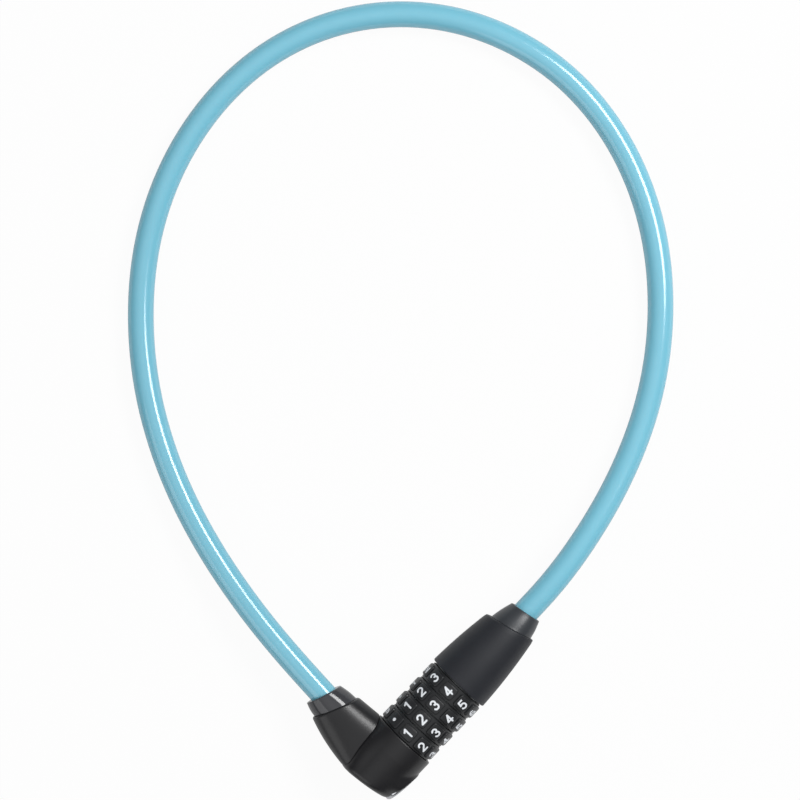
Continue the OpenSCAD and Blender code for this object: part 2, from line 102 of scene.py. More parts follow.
def smooth_step(x):
    """Rises smoothly from nothing at 0 to one at 1."""
    x = min(max(x, 0), 1)
    return x * x * (3 - 2 * x)


print("front face at", [round(x / MM, 2) for x in FACE], "mm, dials every", round(PITCH, 2), "mm")

# %% [markdown]
# ## Camera, floor and light
# The camera looks straight down through a long lens. The floor is a pale sheet that looks white to
# the camera but keeps the lock's shadow, and the sky is plain white to the camera. What the lock
# mirrors of them is dimmer. One soft box stands high on the plug's side and draws the gloss line on
# the cable. A dim one on the other side gives the glossy collar its second, softer streak. As a
# light, the sky is bright overhead and falls off towards the horizon, so that black plastic has a
# broad soft sheen along its top and gets darker down its flanks.

# %% Camera
VIEW_CENTRE = Vector((56.5, 63.9, 10.6)) * MM
VIEW_WIDTH = 246.2 * MM
CAMERA_HEIGHT = 923 * MM
CAMERA_TURN = radians(-46.3)
SENSOR_WIDTH = 36

camera = bpy.data.objects.new("camera", bpy.data.cameras.new("camera"))
camera.data.sensor_width = SENSOR_WIDTH
camera.data.lens = SENSOR_WIDTH * CAMERA_HEIGHT / VIEW_WIDTH
camera.location = VIEW_CENTRE + Vector((0, 0, CAMERA_HEIGHT))
camera.rotation_euler = (0, 0, CAMERA_TURN)
scene = bpy.context.scene
scene.collection.objects.link(camera)
scene.camera = camera
scene.view_settings.view_transform = "Standard"


# %% Small helpers for node trees
def add_node(tree, kind, **settings):
    """A new node; a setting names one of its properties or, with capitals, one of its inputs."""
    node = tree.nodes.new(kind)
    for name, value in settings.items():
        if hasattr(node, name):
            setattr(node, name, value)
        else:
            node.inputs[name.replace("_", " ")].default_value = value
    return node


def join(tree, *pairs):
    for source, target in pairs:
        tree.links.new(source, target)


# %% Floor, sky and soft boxes
FLOOR_RADIUS = 6
FLOOR_GREY = 0.68
FLOOR_GLOW = 0.95
MIRRORED_FLOOR = 0.3
SKY_GLOW = 1
MIRRORED_SKY = 0.15
SKY_HORIZON = 0.12
SKY_TOP = 0.85
SKY_FALL = 3.0
BOX_DISTANCE = 1.0
KEY = {"bearing": -15, "from_top": 41, "wide": 0.6, "tall": 0.34, "power": 8.5}
FILL = {"bearing": 175, "from_top": 60, "wide": 0.9, "tall": 0.7, "power": 2.6}


def background_glow(tree, seen, mirrored):
    """A background's strength: one for the camera, one for what is mirrored or seen through
    something clear, and none where it only lights the lock."""
    rays = add_node(tree, "ShaderNodeLightPath")
    either = add_node(tree, "ShaderNodeMath", operation="MAXIMUM")
    dimmed = add_node(tree, "ShaderNodeMath", operation="MULTIPLY")
    dimmed.inputs[1].default_value = mirrored
    direct = add_node(tree, "ShaderNodeMath", operation="MULTIPLY")
    direct.inputs[1].default_value = seen
    glow = add_node(tree, "ShaderNodeMath", operation="MAXIMUM")
    join(
        tree,
        (rays.outputs["Is Glossy Ray"], either.inputs[0]),
        (rays.outputs["Is Transmission Ray"], either.inputs[1]),
        (either.outputs[0], dimmed.inputs[0]),
        (rays.outputs["Is Camera Ray"], direct.inputs[0]),
        (direct.outputs[0], glow.inputs[0]),
        (dimmed.outputs[0], glow.inputs[1]),
    )
    return glow.outputs[0]


def make_floor():
    mesh = bpy.data.meshes.new("floor")
    shape = bmesh.new()
    bmesh.ops.create_circle(shape, cap_ends=True, segments=64, radius=FLOOR_RADIUS)
    shape.to_mesh(mesh)
    shape.free()
    floor = bpy.data.objects.new("floor", mesh)
    scene.collection.objects.link(floor)
    material = bpy.data.materials.new("floor_sheet")
    material.use_nodes = True
    tree = material.node_tree
    tree.nodes.clear()
    paper = add_node(tree, "ShaderNodeBsdfDiffuse", Color=(FLOOR_GREY, FLOOR_GREY, FLOOR_GREY, 1))
    glow = add_node(tree, "ShaderNodeEmission", Color=(1, 1, 1, 1), Strength=1.0)
    mix = add_node(tree, "ShaderNodeMixShader")
    out = add_node(tree, "ShaderNodeOutputMaterial")
    join(
        tree,
        (background_glow(tree, FLOOR_GLOW, MIRRORED_FLOOR), mix.inputs[0]),
        (paper.outputs[0], mix.inputs[1]),
        (glow.outputs[0], mix.inputs[2]),
        (mix.outputs[0], out.inputs[0]),
    )
    mesh.materials.append(material)


def make_sky():
    world = bpy.data.worlds.new("sky")
    world.use_nodes = True
    scene.world = world
    tree = world.node_tree
    tree.nodes.clear()
    place = add_node(tree, "ShaderNodeTexCoord")
    parts = add_node(tree, "ShaderNodeSeparateXYZ")
    upness = add_node(tree, "ShaderNodeMath", operation="MAXIMUM")
    upness.inputs[1].default_value = 0
    fall = add_node(tree, "ShaderNodeMath", operation="POWER")
    fall.inputs[1].default_value = SKY_FALL
    level = add_node(tree, "ShaderNodeMapRange")
    level.inputs["To Min"].default_value = SKY_HORIZON
    level.inputs["To Max"].default_value = SKY_TOP
    strength = add_node(tree, "ShaderNodeMath", operation="MAXIMUM")
    light = add_node(tree, "ShaderNodeBackground", Color=(1, 1, 1, 1))
    out = add_node(tree, "ShaderNodeOutputWorld")
    join(
        tree,
        (place.outputs["Generated"], parts.inputs[0]),
        (parts.outputs["Z"], upness.inputs[0]),
        (upness.outputs[0], fall.inputs[0]),
        (fall.outputs[0], level.inputs["Value"]),
        (level.outputs[0], strength.inputs[0]),
        (background_glow(tree, SKY_GLOW, MIRRORED_SKY), strength.inputs[1]),
        (strength.outputs[0], light.inputs["Strength"]),
        (light.outputs[0], out.inputs[0]),
    )


def make_soft_box(name, bearing, from_top, wide, tall, power):
    """A rectangular lamp; its bearing and its angle from overhead are in degrees."""
    lamp = bpy.data.lights.new(name, "AREA")
    lamp.shape = "RECTANGLE"
    lamp.size = wide
    lamp.size_y = tall
    lamp.energy = power
    box = bpy.data.objects.new(name, lamp)
    scene.collection.objects.link(box)
    out, turn = sin(radians(from_top)), radians(bearing)
    towards = Vector((out * cos(turn), out * sin(turn), cos(radians(from_top))))
    box.location = VIEW_CENTRE + towards * BOX_DISTANCE
    box.rotation_mode = "QUATERNION"
    box.rotation_quaternion = towards.to_track_quat("Z", "Y")


make_floor()
make_sky()
make_soft_box("key_box", **KEY)
make_soft_box("fill_box", **FILL)
print("camera", [round(x, 3) for x in camera.location], "lens", camera.data.lens)

# %% [markdown]
# ## Finishes
# Each finish is a Principled shader whose colour, roughness and bump vary with the piece's own
# coordinates, in metres. Moulded plastic gets the fine grain of a spark-eroded tool, vinyl a clear
# gloss that changes slowly, with no bump, and the metals the marks of casting, turning or drawing.

# %% A finish with mottled colour, uneven roughness and bump
CLOUDS_PER_METRE = 180
NOISE_LOW, NOISE_HIGH = 0.3, 0.7
GRAIN_DEPTH = 0.25
FINISHES = {}


def finish(name, colour, shade, roughness, grain, bump, metallic=0.0, stretch=(1, 1, 1), **sockets):
    """colour and shade are mixed by a cloudy noise, roughness is (least, most), and grain is the
    size of the bump's grains in millimetres. The other sockets are set on the shader itself."""
    material = bpy.data.materials.new(name)
    material.use_nodes = True
    tree = material.node_tree
    shader = tree.nodes["Principled BSDF"]
    shader.inputs["Metallic"].default_value = metallic
    for socket, value in sockets.items():
        shader.inputs[socket.replace("_", " ")].default_value = value
    place = add_node(tree, "ShaderNodeTexCoord")
    scale = add_node(tree, "ShaderNodeMapping", Scale=stretch)
    clouds = add_node(tree, "ShaderNodeTexNoise", Scale=CLOUDS_PER_METRE, Detail=3.0)
    tint = add_node(tree, "ShaderNodeMix", data_type="RGBA")
    tint.inputs["A"].default_value = (*shade, 1)
    tint.inputs["B"].default_value = (*colour, 1)
    fine = add_node(tree, "ShaderNodeTexNoise", Scale=1 / (grain * MM), Detail=2.0)
    gloss = add_node(tree, "ShaderNodeMapRange")
    gloss.inputs["From Min"].default_value = NOISE_LOW
    gloss.inputs["From Max"].default_value = NOISE_HIGH
    gloss.inputs["To Min"].default_value = roughness[0]
    gloss.inputs["To Max"].default_value = roughness[1]
    height = add_node(tree, "ShaderNodeBump", Strength=bump, Distance=grain * MM * GRAIN_DEPTH)
    join(
        tree,
        (place.outputs["Object"], scale.inputs["Vector"]),
        (scale.outputs[0], clouds.inputs["Vector"]),
        (scale.outputs[0], fine.inputs["Vector"]),
        (clouds.outputs["Fac"], tint.inputs["Factor"]),
        (tint.outputs["Result"], shader.inputs["Base Color"]),
        (fine.outputs["Fac"], gloss.inputs["Value"]),
        (gloss.outputs[0], shader.inputs["Roughness"]),
        (fine.outputs["Fac"], height.inputs["Height"]),
        (height.outputs[0], shader.inputs["Normal"]),
    )
    FINISHES[name] = material
    return material


# %% The finishes of this lock
black_plastic = finish(
    "black_plastic", (0.0125, 0.0125, 0.014), (0.0085, 0.0085, 0.010), (0.28, 0.36), 0.16, 0.35,
    Specular_IOR_Level=0.43,
)
barrel_plastic = finish(
    "barrel_plastic", (0.021, 0.023, 0.028), (0.016, 0.0175, 0.022), (0.42, 0.50), 0.16, 0.4,
    Specular_IOR_Level=0.30,
)
dial_plastic = finish(
    "dial_plastic", (0.020, 0.021, 0.023), (0.015, 0.016, 0.0175), (0.30, 0.38), 0.12, 0.2,
    Specular_IOR_Level=0.4,
)
digit_white = finish("digit_white", (0.80, 0.83, 0.86), (0.70, 0.73, 0.77), (0.45, 0.6), 0.1, 0.2)
elbow_collar_plastic = finish(
    "elbow_collar_plastic", (0.048, 0.049, 0.054), (0.038, 0.039, 0.044), (0.10, 0.13), 0.6, 0.06
)
plug_collar_plastic = finish(
    "plug_collar_plastic", (0.040, 0.044, 0.050), (0.031, 0.035, 0.041), (0.30, 0.36), 0.3, 0.2
)
cable_vinyl = finish(
    "cable_vinyl", (0.188, 0.510, 0.643), (0.177, 0.488, 0.620), (0.14, 0.15), 6.0, 0.0,
    Specular_IOR_Level=0.75, Subsurface_Weight=0.08, Subsurface_Radius=(0.4, 1.0, 1.2),
    Subsurface_Scale=0.0012,
)
steel_rope = finish(
    "steel_rope", (0.42, 0.43, 0.44), (0.30, 0.31, 0.32), (0.25, 0.4), 0.4, 0.3, metallic=1.0
)
finish("zinc_casting", (0.36, 0.37, 0.39), (0.27, 0.28, 0.30), (0.42, 0.6), 0.35, 0.6, metallic=1.0)
finish("crimped_ferrule", (0.55, 0.56, 0.58), (0.45, 0.46, 0.48), (0.3, 0.45), 0.3, 0.3, metallic=1.0)
finish(
    "steel_pin", (0.62, 0.63, 0.64), (0.52, 0.53, 0.54), (0.16, 0.28), 0.5, 0.25, metallic=1.0,
    stretch=(6, 1, 1),
)
finish("spring_steel", (0.20, 0.21, 0.22), (0.14, 0.145, 0.15), (0.3, 0.42), 0.3, 0.3, metallic=1.0)
bright_cap = finish(
    "bright_cap", (0.50, 0.51, 0.53), (0.46, 0.47, 0.49), (0.14, 0.20), 1.5, 0.05, metallic=1.0
)

SLOT_OF = {row["node"]: row["material_slot"] for row in frame["record"]["subparts"]}
for node_name, node_object in frame["nodes"].items():
    node_object.data.materials.clear()
    node_object.data.materials.append(FINISHES[SLOT_OF[node_name]])
print("finishes:", len(FINISHES))


# %% [markdown]
# ## Building smooth shells
# A turned or lofted piece is a stack of rings with equally many points, bridged by quads. The
# slanted ends only change how far each point of a ring lies along the axis, so a slanted cut with a
# rounded edge needs no cutting tool. Where a bore or a recess crosses a shell, it is carved out.

# %% Rings to meshes
SIDES = 128
SHARP = radians(32)


def finished(mesh, name, material, sharp=SHARP):
    """A linked object with smooth shading that breaks at edges sharper than the given angle."""
    mesh.materials.clear()
    mesh.materials.append(material)
    mesh.shade_smooth()
    mesh.set_sharp_from_angle(angle=sharp)
    piece = bpy.data.objects.new(name, mesh)
    scene.collection.objects.link(piece)
    return piece


def skin(name, rings, material, joined=True):
    """A closed mesh through the rings: joined bridges the last ring to the first, otherwise both
    ends are closed with a disc."""
    sides = len(rings[0])
    shape = bmesh.new()
    rows = [[shape.verts.new(point) for point in ring] for ring in rings]
    pairs = list(zip(rows, rows[1:] + rows[:1])) if joined else list(zip(rows, rows[1:]))
    for low, high in pairs:
        for k in range(sides):
            n = (k + 1) % sides
            shape.faces.new((low[k], low[n], high[n], high[k]))
    if not joined:
        shape.faces.new(rows[0])
        shape.faces.new(rows[-1])
    bmesh.ops.recalc_face_normals(shape, faces=shape.faces)
    mesh = bpy.data.meshes.new(name)
    shape.to_mesh(mesh)
    shape.free()
    return finished(mesh, name, material)


def turned(point_at, sides=SIDES):
    """One ring: point_at takes the angle round the axis."""
    return [point_at(2 * pi * k / sides) for k in range(sides)]


def carve(piece, *tools, sharp=SHARP):
    """Cuts the tools out of the piece, removes them and gives the carved piece."""
    for tool in tools:
        cut = piece.modifiers.new("carve", "BOOLEAN")
        cut.operation = "DIFFERENCE"
        cut.solver = "EXACT"
        cut.object = tool
    graph = bpy.context.evaluated_depsgraph_get()
    carved = bpy.data.meshes.new_from_object(piece.evaluated_get(graph))
    name, material = piece.name, piece.data.materials[0]
    for old in (piece, *tools):
        bpy.data.objects.remove(old)
    return finished(carved, name, material, sharp)


def fillet(steps):
    """Angles of a rounded edge, from nothing to a right angle."""
    return [pi / 2 * k / steps for k in range(steps + 1)]


def ride(piece, body, slot, *nodes):
    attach(piece, body)
    if nodes:
        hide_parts(*nodes)
    print(piece.name, len(piece.data.polygons), "faces")
    return piece


# %% [markdown]
# ## The cable
# A vinyl hose over a steel rope is stiff: it leaves each collar straight and swings round in one
# open loop that lies flat on the floor. Its route is a few dozen chosen points, smoothed by a cubic
# B-spline, and a node tree sweeps a circle along it. The rope inside is swept the same way from
# seven circles whose tilt grows with the length, which lays its strands into a helix.

# %% The cable's route
CABLE_D = 8
ROPE_D = 5
REST_Z = CABLE_D / 2
SLEEVE_END_U = 43.95
ROPE_END_U = 38.15
CABLE_SEAT = 15
ROPE_END_LEG = -3
STRAIGHT_STEP = 10
FINE_STEPS = 6
LOOP = [
    (59, -8, 5.8), (75.5, -5, 3.6), (91, -0.5, 1.3), (106.5, 6, 0.1), (122, 15.5, 0),
    (136.5, 28, 0), (149, 43, 0), (158.5, 60.5, 0), (164, 79.5, 0), (165, 99, 0),
    (161, 118, 0), (153, 135, 0), (141, 149.5, 0), (126, 160.5, 0), (108.5, 167.5, 0),
    (89.5, 170, 0), (70, 168, 0), (51, 162, 0), (32.5, 151.5, 0), (16, 137, 0),
    (2.5, 120.5, 0), (-8, 102, 0), (-15, 84, 0.3), (-19.5, 67, 2), (-22.5, 50, 4.6),
    (-24, 35.5, 6.2),
]


def smooth_route(points):
    """Points on the uniform cubic B-spline of these control points, FINE_STEPS to a span."""
    line = []
    for a, b, c, d in zip(points, points[1:], points[2:], points[3:]):
        for k in range(FINE_STEPS):
            t = k / FINE_STEPS
            s = 1 - t
            weights = (s**3, 3 * t**3 - 6 * t**2 + 4, 3 * s**3 - 6 * s**2 + 4, t**3)
            line.append(sum((p * w for p, w in zip((a, b, c, d), weights)), Vector()) / 6)
    a, b, c = points[-3:]
    return line + [(a + b * 4 + c) / 6]


route = [lock_point(SLEEVE_END_U + i * STRAIGHT_STEP, 0, 0) for i in range(-1, 3)]
route += [Vector((x, y, REST_Z + z)) * MM for x, y, z in LOOP]
route += [leg_point(0, CABLE_SEAT + i * STRAIGHT_STEP, 0) for i in range(2, -2, -1)]
sleeve_line = smooth_route(route)
rope_line = [lock_point(ROPE_END_U, 0, 0), *sleeve_line, leg_point(0, ROPE_END_LEG, 0)]
sleeve_length = sum((b - a).length for a, b in zip(sleeve_line, sleeve_line[1:]))
print("cable centreline", round(sleeve_length, 4), "m in", len(sleeve_line), "rings")


# %% Node trees that sweep along a curve
def tree_with_inputs(name, *inputs):
    """A geometry node tree with named inputs, its input and output nodes."""
    tree = bpy.data.node_groups.new(name, "GeometryNodeTree")
    sockets = tree.interface
    sockets.new_socket("Geometry", in_out="INPUT", socket_type="NodeSocketGeometry")
    for label, kind in inputs:
        sockets.new_socket(label, in_out="INPUT", socket_type="NodeSocket" + kind)
    sockets.new_socket("Geometry", in_out="OUTPUT", socket_type="NodeSocketGeometry")
    return tree, tree.nodes.new("NodeGroupInput"), tree.nodes.new("NodeGroupOutput")


def grown(source, tree, name, sharp=SHARP, **values):
    """Runs the tree on the source with these inputs, and keeps the result as a plain mesh."""
    grow = source.modifiers.new("grow", "NODES")
    grow.node_group = tree
    for socket in tree.interface.items_tree:
        if socket.in_out == "INPUT" and socket.name.replace(" ", "_") in values:
            grow[socket.identifier] = values[socket.name.replace(" ", "_")]
    graph = bpy.context.evaluated_depsgraph_get()
    mesh = bpy.data.meshes.new_from_object(
        source.evaluated_get(graph), preserve_all_data_layers=True, depsgraph=graph
    )
    bpy.data.objects.remove(source)
    return finished(mesh, name, values["Material"], sharp)


def poly_curve(points):
    curve = bpy.data.curves.new("route", "CURVE")
    curve.dimensions = "3D"
    spline = curve.splines.new("POLY")
    spline.points.add(len(points) - 1)
    for spot, point in zip(spline.points, points):
        spot.co = (*point, 1)
    line = bpy.data.objects.new("route", curve)
    scene.collection.objects.link(line)
    return line


def sweep_tree():
    """Strands circles of one diameter, one in the middle and the others round it, swept along the
    curve. They turn once in every Lay Length. The mesh remembers how far along each point lies."""
    tree, given, result = tree_with_inputs(
        "sweep along a route",
        ("Diameter", "Float"), ("Sides", "Int"), ("Strands", "Int"), ("Ring Radius", "Float"),
        ("Lay Length", "Float"), ("Material", "Material"),
    )
    along = add_node(tree, "GeometryNodeSplineParameter")
    note = add_node(tree, "GeometryNodeCaptureAttribute")
    note.capture_items.new("FLOAT", "along")
    turns = add_node(tree, "ShaderNodeMath", operation="DIVIDE")
    angle = add_node(tree, "ShaderNodeMath", operation="MULTIPLY")
    angle.inputs[1].default_value = 2 * pi
    tilt = add_node(tree, "GeometryNodeSetCurveTilt")
    radius = add_node(tree, "ShaderNodeMath", operation="MULTIPLY")
    radius.inputs[1].default_value = 0.5
    circle = add_node(tree, "GeometryNodeCurvePrimitiveCircle")
    ring = add_node(tree, "GeometryNodeMeshCircle")
    strands = add_node(tree, "GeometryNodeInstanceOnPoints")
    bundle = add_node(tree, "GeometryNodeJoinGeometry")
    whole = add_node(tree, "GeometryNodeRealizeInstances")
    sweep = add_node(tree, "GeometryNodeCurveToMesh")
    sweep.inputs["Fill Caps"].default_value = True
    store = add_node(tree, "GeometryNodeStoreNamedAttribute", data_type="FLOAT", domain="POINT")
    store.inputs["Name"].default_value = "along"
    paint = add_node(tree, "GeometryNodeSetMaterial")
    join(
        tree,
        (given.outputs["Geometry"], note.inputs["Geometry"]),
        (along.outputs["Length"], note.inputs["along"]),
        (note.outputs["Geometry"], tilt.inputs["Curve"]),
        (along.outputs["Length"], turns.inputs[0]),
        (given.outputs["Lay Length"], turns.inputs[1]),
        (turns.outputs[0], angle.inputs[0]),
        (angle.outputs[0], tilt.inputs["Tilt"]),
        (given.outputs["Diameter"], radius.inputs[0]),
        (given.outputs["Sides"], circle.inputs["Resolution"]),
        (radius.outputs[0], circle.inputs["Radius"]),
        (given.outputs["Strands"], ring.inputs["Vertices"]),
        (given.outputs["Ring Radius"], ring.inputs["Radius"]),
        (ring.outputs["Mesh"], strands.inputs["Points"]),
        (circle.outputs["Curve"], strands.inputs["Instance"]),
        (strands.outputs["Instances"], bundle.inputs[0]),
        (circle.outputs["Curve"], bundle.inputs[0]),
        (bundle.outputs[0], whole.inputs[0]),
        (tilt.outputs["Curve"], sweep.inputs["Curve"]),
        (whole.outputs[0], sweep.inputs["Profile Curve"]),
        (sweep.outputs["Mesh"], store.inputs["Geometry"]),
        (note.outputs["along"], store.inputs["Value"]),
        (store.outputs["Geometry"], paint.inputs["Geometry"]),
        (given.outputs["Material"], paint.inputs["Material"]),
        (paint.outputs["Geometry"], result.inputs[0]),
    )
    return tree


# %% Sweep the sleeve and the rope
CABLE_SIDES = 40
ROPE_STRANDS = 6
STRAND_D = ROPE_D / 3
STRAND_SIDES = 8
ROPE_LAY = 40
NO_LAY = 1000.0
sweep = sweep_tree()
cable = grown(
    poly_curve(sleeve_line), sweep, "cable", Diameter=CABLE_D * MM, Sides=CABLE_SIDES,
    Strands=0, Ring_Radius=0.0, Lay_Length=NO_LAY, Material=cable_vinyl,
)
rope = grown(
    poly_curve(rope_line), sweep, "rope_strands", sharp=pi, Diameter=STRAND_D * MM, Sides=STRAND_SIDES,
    Strands=ROPE_STRANDS, Ring_Radius=STRAND_D * MM, Lay_Length=ROPE_LAY * MM, Material=steel_rope,
)
print("cable", len(cable.data.vertices), "points, rope", len(rope.data.vertices), "points")

# %% [markdown]
# The cable and the rope have their placement baked into their points, and the plain imported
# cable and rope are hidden.


def follow_plug(piece):
    """Bakes the piece's placement into its points."""
    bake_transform(piece)


follow_plug(cable)
follow_plug(rope)
for piece, slot, node in ((cable, "cable_vinyl", "cable_sleeve"), (rope, "steel_rope", "wire_rope")):
    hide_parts(node)

# %% [markdown]
# ## The elbow's base
# The base is a round cover that tapers towards a slanted, rounded end. Across from the branch it
# draws in to a heel: a flat that carries the bright cap, with a smooth cone rising from it into the
# round side. The cone fades towards the end, so that the cap's edge shows there. Cover and heel are
# one stack of rings whose radius changes with the angle, so nothing has to be joined. The hollow
# and the mouths are cut out, because they cross it at other angles.

# %% Shape of the base
BASE_R = 10.6
BASE_STRAIGHT = 6
BASE_TAPER = 0.12
BASE_L = 18
BASE_SLANT = tan(radians(7.4))
BASE_EDGE = 0.3
BASE_ROUND = 2.2
BASE_SIDES = 192
SWELL = 0.85
SWELL_L = 22
SWELL_FROM, SWELL_FADE = 0.35, 0.4
COVER_WALL = 1.5


def base_radius(u, angle):
    """Radius of the base. It swells a little where it carries the branch, at angles near 0."""
    swell = SWELL * sin(pi * min(max(-u, 0), SWELL_L) / SWELL_L) ** 2
    plain = BASE_R - BASE_TAPER * max(-u - BASE_STRAIGHT, 0)
    return plain + swell * smooth_step((cos(angle) - SWELL_FROM) / SWELL_FADE)


HEEL_U = -11.3
HEEL_V = -9.85
HEEL_LEAN = radians(9.5)
HEEL_RIM = 6.35
HEEL_CONE = tan(radians(25.5))
HEEL_FROM, HEEL_BLEND = -0.3, 0.3
HEEL_FADE = 4.6
HEEL_FADE_L = 5
HEEL_FILLET = 0.3
HEEL_CREASE = 0.25
FLAT_DROP = 1.6
HALVINGS = 24
CAP_V = -10.15
CAP_LEAN = radians(6.3)


def soft_max(a, b, softness):
    """The larger of two, rounded over where they meet."""
    return (a + b + hypot(a - b, softness)) / 2


def heel_radius(u, angle):
    """Radius of the base with its heel. The cone's surface is found by halving. Outside the rim the
    flat falls away, so that it cuts nothing there."""
    plain = base_radius(u, angle)
    share = smooth_step((HEEL_FROM - cos(angle)) / HEEL_BLEND)
    if share == 0:
        return plain
    x = u - HEEL_U
    flat_v = HEEL_V - tan(HEEL_LEAN) * x
    low, high = 0.0, flat_v / cos(angle)
    for _ in range(HALVINGS):
        r = (low + high) / 2
        cone = HEEL_RIM + HEEL_CONE * (r * cos(angle) - flat_v)
        low, high = (r, high) if hypot(x, r * sin(angle)) < cone else (low, r)
    share *= smooth_step((x + HEEL_FADE) / HEEL_FADE_L)
    full = plain + share * (soft_max(plain, low, HEEL_FILLET) - plain)
    cut = (flat_v - FLAT_DROP * max(abs(x) - HEEL_RIM, 0)) / cos(angle)
    return -soft_max(-full, -cut, HEEL_CREASE)


def heel_point(across, along, up):
    """A point by the bright cap: along is 0 on its face and grows inwards."""
    u = HEEL_U + across * cos(CAP_LEAN) + along * sin(CAP_LEAN)
    return lock_point(u, CAP_V + along * cos(CAP_LEAN) - across * sin(CAP_LEAN), up)


def base_end_u(angle, r):
    """How far along the axis the slanted end lies."""
    return -BASE_L - BASE_SLANT * r * cos(angle)


def base_rings(inset, rows):
    """Rings from the front face to the middle of the end."""
    rounding = BASE_ROUND - inset / 2

    def ring(place):
        def point(angle):
            u, r = place(angle)
            return lock_point(u, r * cos(angle), r * sin(angle))
        return turned(point, BASE_SIDES)

    def side(share):
        def place(angle):
            end = base_end_u(angle, base_radius(-BASE_L, angle)) + inset + rounding
            u = -BASE_EDGE + share * (end + BASE_EDGE)
            return u, (base_radius(u, angle) - inset if inset else heel_radius(u, angle))
        return place

    def corner(bend):
        def place(angle):
            r = side(1)(angle)[1] - rounding * (1 - cos(bend))
            return base_end_u(angle, r) + inset + rounding * (1 - sin(bend)), r
        return place

    def front(bend):
        r = BASE_R - inset - BASE_EDGE * (1 - sin(bend))
        return lambda angle: (-BASE_EDGE * (1 - cos(bend)), r)

    def end(share):
        def place(angle):
            r = share * (side(1)(angle)[1] - rounding)
            return base_end_u(angle, r) + inset, r
        return place

    places = [front(bend) for bend in fillet(3)[:-1]]
    places += [side(k / rows) for k in range(rows + 1)]
    places += [corner(bend) for bend in fillet(8)[1:]]
    places += [end(0.6), end(0.2)]
    return [ring(place) for place in places]


# %% Plain bars to carve with
ROD_SIDES = 96


def rod(name, at, low, high, radius):
    """A bar along the dials' axis, along the branch or through the heel: at is axis_point, leg_point
    or heel_point."""
    rings = [turned(lambda a: at(radius * cos(a), d, radius * sin(a)), ROD_SIDES) for d in (low, high)]
    return skin(name, rings, black_plastic, joined=False)


# %% Make the base
CAP_R = 5.85
CAP_DEPTH = 1.8
CAP_GAP = 0.04
STUB_R = 6.25
STUB_L = 14
BASE_SHARP = radians(58)
base = carve(
    skin("elbow_base", base_rings(0, 60), black_plastic, joined=False),
    skin("base_hollow", base_rings(COVER_WALL, 24), black_plastic, joined=False),
    rod("front_mouth", axis_point, -1, 1, BASE_R - COVER_WALL),
    rod("branch_mouth", leg_point, 0, STUB_L, STUB_R),
    rod("cap_seat", heel_point, -2, CAP_DEPTH, CAP_R + CAP_GAP),
    sharp=BASE_SHARP,
)
ride(base, "lock_body", "black_plastic", "base_cover")

# %% [markdown]
# ## The elbow's branch
# The branch is a second moulding that sits on the base like a saddle. Its cross-section is between
# an oval and a rounded box, and narrows towards a slanted top. The foot follows the base's round
# side, with a hair's gap that shows as the parting line between the two covers.

# %% Shape of the branch
BRANCH_SLANT = tan(radians(19.4))
BRANCH_L = 22.1
BRANCH_EDGE = 0.45
BRANCH_BORE = 6.1
BORE_GAP = 0.02
SEAM_GAP = 0.1
SEAM_EDGE = 0.12
FOOT_ALONG = 7
FOOT_HALF_WIDTH = 9.62
WIDTH_TAPER, WIDTH_CURVE = 0.07, 0.0045
HALF_HEIGHT = 6.8
HEIGHT_FROM, HEIGHT_CURVE = 14, 0.0035
SHIFT = 0.85
SHIFT_MIDDLE, SHIFT_CURVE = 14.5, 0.0045
OVAL_POWER = 2.2
BOXY_INSIDE, BOXY_OUTSIDE = 0.3, 1.6
BOXY_TURN = 0.6
BOXY_FADE = 4.5
FIT_STEPS = 8
FIRST_GUESS = 8.0


def branch_reach(angle, along):
    """Distance from the branch's axis to its surface, and the section's shift to the outer side.
    The section is a superellipse. It is boxiest at the foot and on the outer side."""
    up_foot = along - FOOT_ALONG
    half_width = FOOT_HALF_WIDTH - WIDTH_TAPER * up_foot - WIDTH_CURVE * up_foot**2
    half_height = HALF_HEIGHT - HEIGHT_CURVE * max(along - HEIGHT_FROM, 0) ** 2
    boxy = BOXY_INSIDE + BOXY_OUTSIDE * smooth_step(0.5 - cos(angle) / BOXY_TURN)
    power = OVAL_POWER + boxy * exp(-max(up_foot, 0) / BOXY_FADE)
    shift = SHIFT - SHIFT_CURVE * (along - SHIFT_MIDDLE) ** 2
    wide, high = abs(cos(angle)) / half_width, abs(sin(angle)) / half_height
    return (wide**power + high**power) ** (-1 / power), shift


def branch_point(angle, along, inset=0.0):
    r, shift = branch_reach(angle, along)
    r -= inset
    return r * cos(angle) - shift, along, r * sin(angle)


def on_base(across, up, gap):
    """How far along the branch a line at across, up leaves the base's surface, with a gap."""
    along = FIRST_GUESS
    for _ in range(FIT_STEPS):
        u, _ = leg_uv(across, along)
        r = base_radius(min(u, 0), atan2(up, along)) + gap
        height = sqrt(max(r * r - up * up, 1))
        along = (height + across * sin(LEG_TILT)) / cos(LEG_TILT)
    return along


def branch_foot(angle):
    """Where the branch's surface meets the base, along the branch."""
    along = FIRST_GUESS
    for _ in range(FIT_STEPS):
        across, _, up = branch_point(angle, along)
        along = on_base(across, up, SEAM_GAP)
    return along


def branch_top(across):
    return BRANCH_L - BRANCH_SLANT * across


